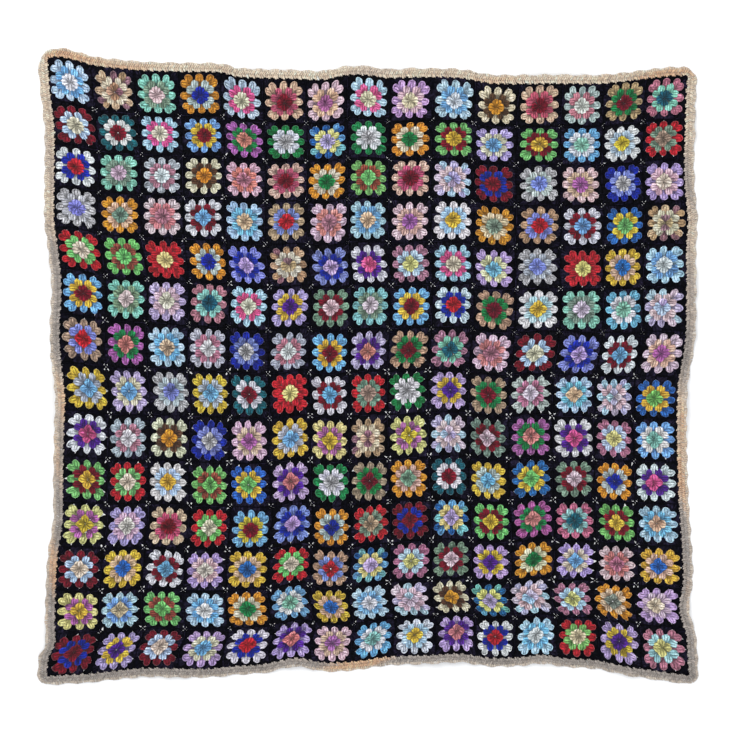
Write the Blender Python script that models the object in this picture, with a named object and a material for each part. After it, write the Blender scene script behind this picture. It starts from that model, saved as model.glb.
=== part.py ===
# Granny square blanket: 15 columns and 14 rows of crocheted squares, joined into one field,
# with a wide cream edging worked round it. It lies spread out on a flat surface.
# Sizes are in millimetres, +X to the right, +Y to the top edge and +Z up.

import math
from collections import namedtuple

import bmesh
import bpy

MM = 0.001

# Driving dimensions
FIELD_THICKNESS = 4.0  # one layer of double crochet
EDGING_WIDTHS = {"top": 19.0, "bottom": 18.5, "left": 21.0, "right": 21.0}
# Radius of each rounded corner, named for the side that starts there going counter-clockwise.
CORNER_RADII = {"bottom": 30.0, "right": 27.0, "top": 34.0, "left": 45.0}
PIECE_GAP = 0.3

SQUARE_SIZE = 98.0
COLUMNS = 15
FIELD_CELLS = (36, 34)  # cells along X and Y
EDGING_STEPS = 2  # edging stations for each cell of the field

# The edging's section: how far across its width, and how thick there.
EdgingPoint = namedtuple("EdgingPoint", "across thickness")

EDGING_SECTION = [EdgingPoint(*row) for row in (
    (0.0, FIELD_THICKNESS),
    (0.55, 5.5),
    (1.0, 3.2),
)]

FRILL_RISE = 3.0  # how high the edging's lip ripples
FRILL_WAVES = 61  # ripples all the way round
FRILL_DRIFTS = 9  # slow changes in their spacing
FRILL_DRIFT = 1.4
FRILL_SWELLS = 5  # slow changes in their height
FRILL_SWELL = 0.35  # share of the rise that they take away and give back

# Where the field of squares ends: stations along each edge, from the blanket's middle.
EdgePoint = namedtuple("EdgePoint", "along out")

TOP_EDGE = [EdgePoint(*row) for row in (
    (-738, 716), (-708, 717), (-682, 712), (-635, 698), (-607, 693),
    (-566, 689), (-524, 686), (-443, 683), (-339, 681), (-293, 670),
    (-155, 665), (-98, 665), (-52, 674), (6, 674), (45, 668),
    (121, 670), (213, 668), (282, 656), (420, 654), (535, 655),
    (627, 665), (696, 673), (736, 673),
)]
BOTTOM_EDGE = [EdgePoint(*row) for row in (
    (-740, -710), (-650, -705), (-581, -698), (-512, -691), (-374, -693),
    (-305, -687), (-236, -682), (-167, -667), (-98, -679), (-29, -676),
    (40, -666), (144, -660), (213, -657), (282, -668), (351, -666),
    (397, -660), (454, -669), (523, -673), (592, -687), (661, -698),
    (739, -709),
)]
LEFT_EDGE = [EdgePoint(*row) for row in (
    (-710, -740), (-681, -738), (-660, -734), (-643, -724), (-622, -719),
    (-590, -721), (-558, -721), (-489, -719), (-420, -714), (-351, -703),
    (-282, -703), (-144, -700), (-75, -696), (-40, -699), (29, -708),
    (98, -710), (201, -706), (270, -714), (339, -723), (477, -722),
    (546, -722), (650, -734), (716, -738),
)]
RIGHT_EDGE = [EdgePoint(*row) for row in (
    (-709, 739), (-675, 737), (-612, 733), (-585, 724), (-550, 716),
    (-519, 721), (-489, 726), (-420, 724), (-351, 719), (-282, 715),
    (-178, 712), (-144, 710), (-40, 713), (29, 726), (98, 732),
    (270, 733), (339, 737), (374, 734), (443, 729), (546, 730),
    (615, 732), (673, 736),
)]

# Soft ridges left by the way the blanket was folded away.
Crease = namedtuple("Crease", "start_x start_y end_x end_y half_width rise")

CREASES = [Crease(*row) for row in (
    (-60, 92, 760, 84, 70, 7.0),
    (-700, 64, -60, 92, 62, 3.5),
    (-46, 60, -38, 700, 62, 5.0),
    (-250, -330, 420, -352, 66, 2.5),
)]

# Where the edge of the cloth lifts off the surface.
Lift = namedtuple("Lift", "side along half_length reach rise")

LIFTS = [Lift(*row) for row in (
    ("top", -590, 85, 80, 5.0),
    ("top", -215, 115, 120, 8.0),
    ("top", 75, 60, 70, 4.0),
    ("top", 430, 150, 130, 10.0),
    ("right", 560, 90, 85, 5.0),
    ("right", 190, 95, 100, 7.0),
    ("right", -95, 120, 125, 12.0),
    ("right", -560, 70, 80, 6.0),
    ("bottom", 590, 80, 85, 6.0),
    ("bottom", 395, 65, 90, 8.0),
    ("bottom", 170, 130, 140, 12.0),
    ("bottom", -165, 75, 100, 9.0),
    ("bottom", -470, 110, 80, 5.0),
    ("left", -610, 55, 70, 7.0),
    ("left", -70, 125, 130, 12.0),
    ("left", 220, 95, 95, 7.0),
    ("left", 520, 90, 80, 5.0),
)]


def bump(distance):
    """A smooth hill: 1 at its middle, 0 from a distance of 1 outwards."""
    return 0.5 + 0.5 * math.cos(math.pi * distance) if abs(distance) < 1 else 0.0


def slope_at(stations, i):
    """The slope of the edge's curve at one station."""
    before = stations[max(i - 1, 0)]
    after = stations[min(i + 1, len(stations) - 1)]
    return (after.out - before.out) / (after.along - before.along)


def edge_out(stations, along):
    """How far out the edge lies, on a smooth curve through its stations."""
    i = 0
    while i < len(stations) - 2 and along > stations[i + 1].along:
        i += 1
    start, end = stations[i], stations[i + 1]
    run = end.along - start.along
    t = min(max((along - start.along) / run, 0.0), 1.0)
    rise_in = slope_at(stations, i) * run
    rise_out = slope_at(stations, i + 1) * run
    return (
        start.out * (1 + 2 * t) * (1 - t) ** 2
        + end.out * t * t * (3 - 2 * t)
        + rise_in * t * (1 - t) ** 2
        - rise_out * t * t * (1 - t)
    )


def along_edge(stations, t):
    """Position along the edge for t from 0 to 1."""
    return stations[0].along + (stations[-1].along - stations[0].along) * t


def row_edge(stations, t):
    x = along_edge(stations, t)
    return (x, edge_out(stations, x))


def column_edge(stations, t):
    y = along_edge(stations, t)
    return (edge_out(stations, y), y)


def field_plan(u, v):
    """Plan position of the field at u across and v up, both 0 to 1, blended from its four edges."""
    bottom, top = row_edge(BOTTOM_EDGE, u), row_edge(TOP_EDGE, u)
    left, right = column_edge(LEFT_EDGE, v), column_edge(RIGHT_EDGE, v)
    corners = (
        (row_edge(BOTTOM_EDGE, 0), (1 - u) * (1 - v)),
        (row_edge(BOTTOM_EDGE, 1), u * (1 - v)),
        (row_edge(TOP_EDGE, 0), (1 - u) * v),
        (row_edge(TOP_EDGE, 1), u * v),
    )
    return tuple(
        (1 - v) * bottom[k] + v * top[k] + (1 - u) * left[k] + u * right[k]
        - sum(corner[k] * share for corner, share in corners)
        for k in (0, 1)
    )


def from_edge(side, x, y):
    """(position along a side, distance in from the blanket's outer edge there)."""
    if side == "top":
        return x, edge_out(TOP_EDGE, x) + EDGING_WIDTHS[side] - y
    if side == "bottom":
        return x, y - edge_out(BOTTOM_EDGE, x) + EDGING_WIDTHS[side]
    if side == "right":
        return y, edge_out(RIGHT_EDGE, y) + EDGING_WIDTHS[side] - x
    return y, x - edge_out(LEFT_EDGE, y) + EDGING_WIDTHS[side]


def crease_rise(crease, x, y):
    run_x, run_y = crease.end_x - crease.start_x, crease.end_y - crease.start_y
    length = math.hypot(run_x, run_y)
    along = ((x - crease.start_x) * run_x + (y - crease.start_y) * run_y) / length
    across = ((y - crease.start_y) * run_x - (x - crease.start_x) * run_y) / length
    past_end = max(-along, along - length, 0.0)
    return crease.rise * bump(math.hypot(across, past_end) / crease.half_width)


def lift_rise(lift, x, y):
    along, inward = from_edge(lift.side, x, y)
    return (
        lift.rise
        * bump((along - lift.along) / lift.half_length)
        * bump(max(inward, 0.0) / lift.reach)
    )


def relief(x, y):
    """Height of the cloth's underside above the surface."""
    ridge = max(crease_rise(crease, x, y) for crease in CREASES)
    return ridge + max(lift_rise(lift, x, y) for lift in LIFTS)


def frill(turn):
    """Ripple of the edging's lip, for turn from 0 to 1 round the blanket."""
    angle = 2 * math.pi * turn
    wave = math.sin(FRILL_WAVES * angle + FRILL_DRIFT * math.sin(FRILL_DRIFTS * angle))
    swell = 1 - FRILL_SWELL + FRILL_SWELL * math.sin(FRILL_SWELLS * angle)
    return FRILL_RISE * swell * (0.5 + 0.5 * wave)


def rounded_reach(radius, own, other, away, slant=0.0):
    """
    How far the edging reaches at a distance away from a corner along a side, with the widths of that side
    and of the other side of the corner, and the station's direction turned by slant towards the other side.
    """
    across, out = radius - other - away, own - radius  # centre of the rounding, from the station
    if across <= 0 and slant == 0:
        return own
    along = out * math.cos(slant) - across * math.sin(slant)
    return along + math.sqrt(radius ** 2 - across ** 2 - out ** 2 + along ** 2)


def edging_stations():
    """(u, v, outward direction, reach) round the field, counter-clockwise from its bottom left corner."""
    across, up = (cells * EDGING_STEPS for cells in FIELD_CELLS)
    diagonal = math.sqrt(0.5)
    step = SQUARE_SIZE * COLUMNS / across
    sides = (
        ("left", "bottom", "right", across, (0, -1), (-diagonal, -diagonal), lambda t: (t, 0.0)),
        ("bottom", "right", "top", up, (1, 0), (diagonal, -diagonal), lambda t: (1.0, t)),
        ("right", "top", "left", across, (0, 1), (diagonal, diagonal), lambda t: (1.0 - t, 1.0)),
        ("top", "left", "bottom", up, (-1, 0), (-diagonal, diagonal), lambda t: (0.0, 1.0 - t)),
    )
    for before, side, after, steps, outward, at_corner, place in sides:
        own = EDGING_WIDTHS[side]
        for i in range(steps):
            u, v = place(i / steps)
            if i == 0:
                reach = rounded_reach(CORNER_RADII[side], own, EDGING_WIDTHS[before], 0.0, math.pi / 4)
                yield u, v, at_corner, reach, PIECE_GAP / diagonal
            else:
                from_start = rounded_reach(CORNER_RADII[side], own, EDGING_WIDTHS[before], i * step)
                to_end = rounded_reach(CORNER_RADII[after], own, EDGING_WIDTHS[after], (steps - i) * step)
                yield u, v, outward, min(from_start, to_end), PIECE_GAP


def middle_of_outline():
    """The middle of the whole blanket's plan, which becomes the origin."""
    xs, ys = [], []
    for u, v, outward, reach, gap in edging_stations():
        x, y = field_plan(u, v)
        xs.append(x + outward[0] * reach)
        ys.append(y + outward[1] * reach)
    return (min(xs) + max(xs)) / 2, (min(ys) + max(ys)) / 2


def yarn_material(name, colour, roughness):
    material = bpy.data.materials.new(name)
    material.use_nodes = True
    shader = material.node_tree.nodes["Principled BSDF"]
    shader.inputs["Base Color"].default_value = (*colour, 1.0)
    shader.inputs["Roughness"].default_value = roughness
    shader.inputs["Metallic"].default_value = 0.0
    return material


def thickened(bm, thickness_of):
    """Closes an open sheet by raising a copy of it, each corner by its own thickness."""
    raised = bmesh.ops.extrude_face_region(bm, geom=bm.faces[:], use_keep_orig=True)
    for vert in raised["geom"]:
        if isinstance(vert, bmesh.types.BMVert):
            vert.co.z += thickness_of(vert) * MM
    bmesh.ops.recalc_face_normals(bm, faces=bm.faces[:])


def add_piece(collection, name, bm, material):
    mesh = bpy.data.meshes.new(name)
    bm.to_mesh(mesh)
    bm.free()
    mesh.materials.append(material)
    mesh.shade_smooth()
    mesh.set_sharp_from_angle(angle=math.radians(40))
    piece = bpy.data.objects.new(name, mesh)
    collection.objects.link(piece)
    return piece


def make_field(collection, middle):
    """The joined squares: one sheet, flat where it rests and raised along its creases and lifts."""
    bm = bmesh.new()
    bmesh.ops.create_grid(bm, x_segments=FIELD_CELLS[0], y_segments=FIELD_CELLS[1], size=0.5)
    for vert in bm.verts:
        x, y = field_plan(vert.co.x + 0.5, vert.co.y + 0.5)
        vert.co = ((x - middle[0]) * MM, (y - middle[1]) * MM, relief(x, y) * MM)
    thickened(bm, lambda vert: FIELD_THICKNESS)
    black = yarn_material("black_yarn", (0.012, 0.012, 0.022), 0.9)
    return add_piece(collection, "joined_squares", bm, black)


def edging_rows():
    """For each station of the edging, the points of its section as (x, y, z, thickness)."""
    stations = list(edging_stations())
    inner = []
    for u, v, outward, reach, gap in stations:
        x, y = field_plan(u, v)
        inner.append((x + outward[0] * gap, y + outward[1] * gap))
    for i in range(1, len(inner), EDGING_STEPS):
        # Between two of the field's corners the edging follows the field's straight side.
        after = inner[(i + 1) % len(inner)]
        inner[i] = ((inner[i - 1][0] + after[0]) / 2, (inner[i - 1][1] + after[1]) / 2)
    for i, (u, v, outward, reach, gap) in enumerate(stations):
        row = []
        for point in EDGING_SECTION:
            x = inner[i][0] + outward[0] * (reach - gap) * point.across
            y = inner[i][1] + outward[1] * (reach - gap) * point.across
            z = relief(x, y) + frill(i / len(stations)) * point.across ** 2
            row.append((x, y, z, point.thickness))
        yield row


def make_edging(collection, middle):
    """The cream edging: one ring, thickest along its crest and rippled at its lip."""
    rows = list(edging_rows())
    bm = bmesh.new()
    thickness = bm.verts.layers.float.new("thickness")
    rings = []
    for k in range(len(rows[0])):
        ring = bmesh.ops.create_circle(bm, segments=len(rows), radius=1.0)["verts"]
        for vert, row in zip(ring, rows):
            x, y, z, thick = row[k]
            vert.co = ((x - middle[0]) * MM, (y - middle[1]) * MM, z * MM)
            vert[thickness] = thick
        rings.append({edge for vert in ring for edge in vert.link_edges})
    for near, far in zip(rings, rings[1:]):
        bmesh.ops.bridge_loops(bm, edges=list(near | far))
    thickened(bm, lambda vert: vert[thickness])
    cream = yarn_material("cream_yarn", (0.62, 0.53, 0.42), 0.92)
    return add_piece(collection, "edging", bm, cream)


def main():
    for leftover in list(bpy.data.objects):
        bpy.data.objects.remove(leftover, do_unlink=True)
    collection = bpy.data.collections.new("granny_square_blanket")
    bpy.context.scene.collection.children.link(collection)
    middle = middle_of_outline()
    make_field(collection, middle)
    make_edging(collection, middle)


main()
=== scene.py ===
import math
import time

import bmesh
import bpy
import numpy as np
from mathutils import Matrix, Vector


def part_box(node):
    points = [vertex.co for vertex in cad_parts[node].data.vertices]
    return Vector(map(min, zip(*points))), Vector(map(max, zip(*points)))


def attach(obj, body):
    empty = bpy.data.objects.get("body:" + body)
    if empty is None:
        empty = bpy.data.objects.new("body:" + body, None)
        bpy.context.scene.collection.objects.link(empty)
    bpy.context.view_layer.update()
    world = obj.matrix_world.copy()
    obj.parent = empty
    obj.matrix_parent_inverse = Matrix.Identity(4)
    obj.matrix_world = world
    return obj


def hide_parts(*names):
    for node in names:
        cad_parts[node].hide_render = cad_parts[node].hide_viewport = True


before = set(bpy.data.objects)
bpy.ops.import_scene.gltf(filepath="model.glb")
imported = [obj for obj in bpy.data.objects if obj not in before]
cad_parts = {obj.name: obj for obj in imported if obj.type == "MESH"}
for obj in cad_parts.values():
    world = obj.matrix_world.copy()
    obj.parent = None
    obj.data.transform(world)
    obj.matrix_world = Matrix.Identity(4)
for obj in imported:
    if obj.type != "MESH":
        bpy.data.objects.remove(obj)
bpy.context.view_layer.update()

# A granny square blanket, spread out flat: crocheted squares joined in black, with a cream edging.
# Lengths are in millimetres until the meshes are made.

mm = 0.001
startTime = time.time()


def stage(text):
    print(f"{time.time() - startTime:6.1f} s  {text}")


def linked(name, data):
    made = bpy.data.objects.new(name, data)
    bpy.context.scene.collection.objects.link(made)
    return made


# The cloth's shape

blanket = {
    "columns": 15,
    "rows": 14,
    "squareSize": 98.0,
    "sheetColumns": 36,  # of the CAD sheet's own mesh
    "sheetRows": 34,
    "edgingWidths": {"top": 19.0, "bottom": 18.5, "left": 21.0, "right": 21.0},
    # radius of each rounded corner, named for the side that starts there going counter-clockwise
    "cornerRadii": {"bottom": 30.0, "right": 27.0, "top": 34.0, "left": 45.0},
    "topEdge": (  # along the edge, out from the middle
        (-738, 716), (-708, 717), (-682, 712), (-635, 698), (-607, 693),
        (-566, 689), (-524, 686), (-443, 683), (-339, 681), (-293, 670),
        (-155, 665), (-98, 665), (-52, 674), (6, 674), (45, 668),
        (121, 670), (213, 668), (282, 656), (420, 654), (535, 655),
        (627, 665), (696, 673), (736, 673),
    ),
    "bottomEdge": (
        (-740, -710), (-650, -705), (-581, -698), (-512, -691), (-374, -693),
        (-305, -687), (-236, -682), (-167, -667), (-98, -679), (-29, -676),
        (40, -666), (144, -660), (213, -657), (282, -668), (351, -666),
        (397, -660), (454, -669), (523, -673), (592, -687), (661, -698),
        (739, -709),
    ),
    "leftEdge": (
        (-710, -740), (-681, -738), (-660, -734), (-643, -724), (-622, -719),
        (-590, -721), (-558, -721), (-489, -719), (-420, -714), (-351, -703),
        (-282, -703), (-144, -700), (-75, -696), (-40, -699), (29, -708),
        (98, -710), (201, -706), (270, -714), (339, -723), (477, -722),
        (546, -722), (650, -734), (716, -738),
    ),
    "rightEdge": (
        (-709, 739), (-675, 737), (-612, 733), (-585, 724), (-550, 716),
        (-519, 721), (-489, 726), (-420, 724), (-351, 719), (-282, 715),
        (-178, 712), (-144, 710), (-40, 713), (29, 726), (98, 732),
        (270, 733), (339, 737), (374, 734), (443, 729), (546, 730),
        (615, 732), (673, 736),
    ),
    "creases": (  # start x, start y, end x, end y, half width, rise
        (-60, 92, 760, 84, 70, 7.0),
        (-700, 64, -60, 92, 62, 3.5),
        (-46, 60, -38, 700, 62, 5.0),
        (-250, -330, 420, -352, 66, 2.5),
    ),
    "lifts": (  # side, along, half length, reach, rise
        ("top", -590, 85, 80, 5.0),
        ("top", -215, 115, 120, 8.0),
        ("top", 75, 60, 70, 4.0),
        ("top", 430, 150, 130, 10.0),
        ("right", 560, 90, 85, 5.0),
        ("right", 190, 95, 100, 7.0),
        ("right", -95, 120, 125, 12.0),
        ("right", -560, 70, 80, 6.0),
        ("bottom", 590, 80, 85, 6.0),
        ("bottom", 395, 65, 90, 8.0),
        ("bottom", 170, 130, 140, 12.0),
        ("bottom", -165, 75, 100, 9.0),
        ("bottom", -470, 110, 80, 5.0),
        ("left", -610, 55, 70, 7.0),
        ("left", -70, 125, 130, 12.0),
        ("left", 220, 95, 95, 7.0),
        ("left", 520, 90, 80, 5.0),
    ),
    "rowSlip": (  # how far each row, from the bottom one, sits above an even spacing: left, middle, right
        (2, 1, 10), (-3, -14, 10), (-6, -21, 3), (-6, -24, 3), (-2, -21, -1), (-2, -18, -1),
        (3, -8, -4), (16, -10, -1), (19, -1, 7), (18, -3, 8), (11, 4, 5), (4, 4, 3),
        (-1, -1, 2), (-4, -9, -4),
    ),
    "columnSlip": (  # how far each column sits right of an even spacing: bottom, middle, top
        (7, 8, 2), (7, 8, 4), (8, 8, 3), (8, 7, 6), (17, 2, 5), (21, 1, 6),
        (16, -1, 5), (10, -6, 2), (10, -11, 4), (5, -8, 4), (-3, -14, 4), (-8, -8, 8),
        (-11, -2, 5), (-11, -4, 3), (-10, -7, 0),
    ),
    "frill": {"rise": 3.0, "waves": 61, "drifts": 9, "drift": 1.4, "swells": 5, "swell": 0.35},
}


def bump(distance):
    # a smooth hill: 1 in the middle, 0 from a distance of 1 outwards
    return 0.5 + 0.5 * np.cos(np.pi * np.clip(np.abs(distance), 0, 1))


def curveThrough(stations, at):
    # reads the smooth curve through a table's two columns
    x, y = np.array(stations, float).T
    slope = np.gradient(y, x)
    slope[1:-1] = (y[2:] - y[:-2]) / (x[2:] - x[:-2])
    i = np.clip(np.searchsorted(x, at, side="right") - 1, 0, len(x) - 2)
    run = x[i + 1] - x[i]
    t = np.clip((at - x[i]) / run, 0, 1)
    return (
        y[i] * (1 + 2 * t) * (1 - t) ** 2
        + y[i + 1] * t * t * (3 - 2 * t)
        + slope[i] * run * t * (1 - t) ** 2
        - slope[i + 1] * run * t * t * (1 - t)
    )


def edgePoint(side, t):
    # (x, y) on one edge of the joined squares, for t from 0 to 1
    stations = blanket[side + "Edge"]
    along = stations[0][0] + (stations[-1][0] - stations[0][0]) * np.asarray(t, float)
    out = curveThrough(stations, along)
    return np.array((along, out) if side in ("top", "bottom") else (out, along))


def clothPlan(u, v):
    # plan position at u across and v up, both 0 to 1, blended from the four edges
    bottom, top = edgePoint("bottom", u), edgePoint("top", u)
    left, right = edgePoint("left", v), edgePoint("right", v)
    place = (1 - v) * bottom + v * top + (1 - u) * left + u * right
    for side, t, share in (
        ("bottom", 0, (1 - u) * (1 - v)), ("bottom", 1, u * (1 - v)),
        ("top", 0, (1 - u) * v), ("top", 1, u * v),
    ):
        place -= edgePoint(side, t).reshape((2,) + (1,) * np.ndim(share)) * share
    return place


def slip(table, t, across, length):
    # how far rows or columns have slipped at t, as a share of length; across runs from 0 to 1
    count = len(table)
    places = np.concatenate(([0], (np.arange(count) + 0.5) / count, [1]))
    low, middle, high = (
        curveThrough(np.column_stack((places, np.pad(column, 1))), t) for column in np.array(table, float).T
    )
    bend = middle - (low + high) / 2
    return (low + (high - low) * across + bend * 4 * across * (1 - across)) / length


def squarePlan(u, v):
    # the same plan, with the rows and columns where they have slipped to
    slippedU = u + slip(blanket["columnSlip"], u, v, blanket["squareSize"] * blanket["columns"])
    slippedV = v + slip(blanket["rowSlip"], v, u, blanket["squareSize"] * blanket["rows"])
    return clothPlan(slippedU, slippedV)


def relief(x, y):
    # height of the cloth's underside above the floor
    ridge = np.zeros_like(x)
    for startX, startY, endX, endY, halfWidth, rise in blanket["creases"]:
        runX, runY = endX - startX, endY - startY
        length = math.hypot(runX, runY)
        along = ((x - startX) * runX + (y - startY) * runY) / length
        across = ((y - startY) * runX - (x - startX) * runY) / length
        pastEnd = np.maximum(np.maximum(-along, along - length), 0)
        ridge = np.maximum(ridge, rise * bump(np.hypot(across, pastEnd) / halfWidth))
    lifted = np.zeros_like(x)
    for side, middle, halfLength, reach, rise in blanket["lifts"]:
        along, out = (x, y) if side in ("top", "bottom") else (y, x)
        sign = 1 if side in ("top", "right") else -1
        inward = sign * (curveThrough(blanket[side + "Edge"], along) - out) + blanket["edgingWidths"][side]
        hill = bump((along - middle) / halfLength) * bump(np.maximum(inward, 0) / reach)
        lifted = np.maximum(lifted, rise * hill)
    return ridge + lifted


def frillRise(turn):
    # ripple of the edging's lip, for turn from 0 to 1 round the blanket
    frill, angle = blanket["frill"], 2 * math.pi * turn
    wave = np.sin(frill["waves"] * angle + frill["drift"] * np.sin(frill["drifts"] * angle))
    swell = 1 - frill["swell"] + frill["swell"] * np.sin(frill["swells"] * angle)
    return frill["rise"] * swell * (0.5 + 0.5 * wave)


def planOfOrigin():
    # the plan position that lies on the frame's origin
    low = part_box("joined_squares")[0]
    leftmost = edgePoint("left", np.linspace(0, 1, blanket["sheetRows"] + 1))[0].min()
    lowest = edgePoint("bottom", np.linspace(0, 1, blanket["sheetColumns"] + 1))[1].min()
    return np.array((leftmost - low.x / mm, lowest - low.y / mm))


origin = planOfOrigin()


# Yarns

# Each yarn's shades, red, green and blue as shown on a screen. More than one makes it variegated.
yarns = {
    "white": ((0.93, 0.93, 0.92),),
    "cream": ((0.94, 0.87, 0.71),),
    "peach": ((0.94, 0.74, 0.58),),
    "tan": ((0.76, 0.61, 0.46),),
    "brown": ((0.36, 0.22, 0.13),),
    "lemon": ((0.95, 0.87, 0.48),),
    "gold": ((0.96, 0.76, 0.18),),
    "orange": ((0.97, 0.58, 0.11),),
    "rust": ((0.64, 0.28, 0.20),),
    "palePink": ((0.92, 0.76, 0.78),),
    "salmon": ((0.91, 0.50, 0.46),),
    "dustyRose": ((0.77, 0.47, 0.53),),
    "rose": ((0.82, 0.30, 0.42),),
    "hotPink": ((0.96, 0.32, 0.55),),
    "red": ((0.84, 0.09, 0.14),),
    "burgundy": ((0.53, 0.03, 0.12),),
    "orchid": ((0.74, 0.38, 0.66),),
    "lilac": ((0.77, 0.65, 0.87),),
    "periwinkle": ((0.52, 0.57, 0.89),),
    "purple": ((0.33, 0.10, 0.58),),
    "royal": ((0.05, 0.14, 0.66),),
    "blue": ((0.14, 0.42, 0.76),),
    "sky": ((0.45, 0.72, 0.92),),
    "paleBlue": ((0.71, 0.85, 0.94),),
    "teal": ((0.07, 0.40, 0.46),),
    "mint": ((0.55, 0.84, 0.74),),
    "sage": ((0.50, 0.62, 0.50),),
    "green": ((0.08, 0.55, 0.26),),
    "leaf": ((0.48, 0.82, 0.40),),
    "paleGrey": ((0.74, 0.78, 0.78),),
    "marled": ((0.06, 0.06, 0.10),),
    "seaMix": ((0.10, 0.40, 0.66), (0.40, 0.70, 0.86), (0.45, 0.78, 0.74)),
    "pastelMix": ((0.72, 0.84, 0.93), (0.90, 0.76, 0.84), (0.78, 0.70, 0.88)),
    "earthMix": ((0.76, 0.60, 0.40), (0.88, 0.72, 0.52), (0.62, 0.42, 0.44)),
}

# The centre, middle and outer round of each colouring, and how many squares wear it.
colourings = (
    ("sky paleGrey gold", 4), ("sky cream lilac", 5), ("cream paleBlue burgundy", 4),
    ("lilac royal periwinkle", 4), ("lemon paleBlue dustyRose", 5), ("marled periwinkle royal", 3),
    ("salmon green orchid", 4), ("tan sage red", 3), ("leaf gold blue", 4), ("burgundy rose peach", 5),
    ("burgundy white teal", 3), ("palePink burgundy sage", 4), ("cream palePink lilac", 6),
    ("dustyRose salmon palePink", 5), ("leaf rust leaf", 4), ("gold paleBlue white", 5),
    ("sage peach orange", 4), ("burgundy royal burgundy", 3), ("salmon purple lilac", 4),
    ("peach sky paleBlue", 6), ("cream leaf red", 5), ("green cream orange", 4), ("teal mint dustyRose", 4),
    ("burgundy gold sky", 5), ("marled white green", 4), ("orange brown cream", 4),
    ("hotPink purple white", 4), ("burgundy green tan", 5), ("lemon red red", 3),
    ("royal paleGrey orange", 4), ("red royal white", 4), ("white sky paleBlue", 6),
    ("orchid peach palePink", 6), ("gold orchid lemon", 4), ("sky burgundy white", 5),
    ("palePink sage mint", 5), ("blue peach gold", 5), ("cream hotPink paleBlue", 5),
    ("lilac lemon seaMix", 4), ("pastelMix palePink pastelMix", 6), ("gold burgundy leaf", 5),
    ("periwinkle paleGrey marled", 4), ("earthMix cream earthMix", 4), ("mint white sky", 5),
    ("purple gold lilac", 5), ("red periwinkle tan", 4), ("white dustyRose paleGrey", 6),
)

dyeingAndGrooveShade = {
    "fading": 0.16,  # towards grey
    "coolness": (0.75, 0.79, 0.88),
    "lotSpread": 0.035,
    "clusterSpread": 0.10,
    "brightest": 0.97,
    # how dark the painted shade in the grooves between plies is, as a share of the yarn's shade
    "paintedGrooveShare": 0.85,
    "marledPly": (0.90, 0.90, 0.92),
}


def linear(shade):
    shade = np.asarray(shade, float)
    return np.where(shade <= 0.04045, shade / 12.92, ((shade + 0.055) / 1.055) ** 2.4)


def dealColourings(rng):
    # one colouring for each square, row by row, with no two neighbours alike
    deck = [names.split() for names, number in colourings for _ in range(number)]
    columns, count = blanket["columns"], blanket["columns"] * blanket["rows"]
    deck = [deck[i % len(deck)] for i in rng.permutation(max(count, len(deck)))][:count]
    for i in range(count):
        nearby = {j for j in (i - 1, i - columns, i - columns + 1, i - columns - 1) if j >= 0}
        worn = {deck[j][2] for j in nearby} | {deck[j][0] for j in nearby if j in (i - 1, i - columns)}
        for later in range(i, count):
            if deck[later][2] not in worn:
                deck[i], deck[later] = deck[later], deck[i]
                break
    return deck


def yarnColours(deck, rounds, rng):
    # the shade of every coloured cluster, and the colour in the grooves between its plies: a darker painted
    # shade, apart from a marled yarn's white ply
    shades = np.zeros((len(deck), len(rounds), 3))
    pliesAndGrooveShades = np.zeros_like(shades)
    for i, names in enumerate(deck):
        dye = 1 + rng.normal(0, dyeingAndGrooveShade["lotSpread"], (3, 3))  # one dye lot for each round of the square
        for j, number in enumerate(rounds):
            yarn = yarns[names[number]]
            shade = np.array(yarn[rng.integers(len(yarn))]) * dye[number]
            shade = np.clip(shade, 0, dyeingAndGrooveShade["brightest"])
            shade = shade + (shade.mean() - shade) * dyeingAndGrooveShade["fading"]
            shades[i, j] = linear(shade) * dyeingAndGrooveShade["coolness"] * rng.normal(1, dyeingAndGrooveShade["clusterSpread"])
            isMarled = names[number] == "marled"
            # the grooves between plies get a darker painted shade; a marled yarn shows its white ply there
            pliesAndGrooveShades[i, j] = linear(dyeingAndGrooveShade["marledPly"]) if isMarled else shades[i, j] * dyeingAndGrooveShade["paintedGrooveShare"]
    return np.clip(shades, 0, 1), np.clip(pliesAndGrooveShades, 0, 1)


# Stitches

square = {
    # foot x, foot y, top x, top y and width of the clusters on the far side; they repeat on the other three
    "rounds": (
        ((0, 0.8, 0, 19.0, 18.6),),
        ((-10.8, 16.6, -11.4, 31.0, 15.6), (10.8, 16.6, 11.4, 31.0, 15.6)),
        ((0, 27.4, 0, 41.8, 15.6), (-22.8, 26.8, -25.4, 40.4, 14.4), (22.8, 26.8, 25.4, 40.4, 14.4)),
        ((-12.2, 29.4, -12.5, 49.6, 20), (12.2, 29.4, 12.5, 49.6, 20),
         (-32.8, 32.0, -33.6, 49.6, 16.4), (32.8, 32.0, 33.6, 49.6, 16.4)),
    ),
    "joining": 3,  # the round worked in black
    "seamMargin": 12.0,  # of the strip beside a seam where the square is held more and more
}

quarterTurns = ((1, 0), (0, 1), (-1, 0), (0, -1))  # as cosine and sine

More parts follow.
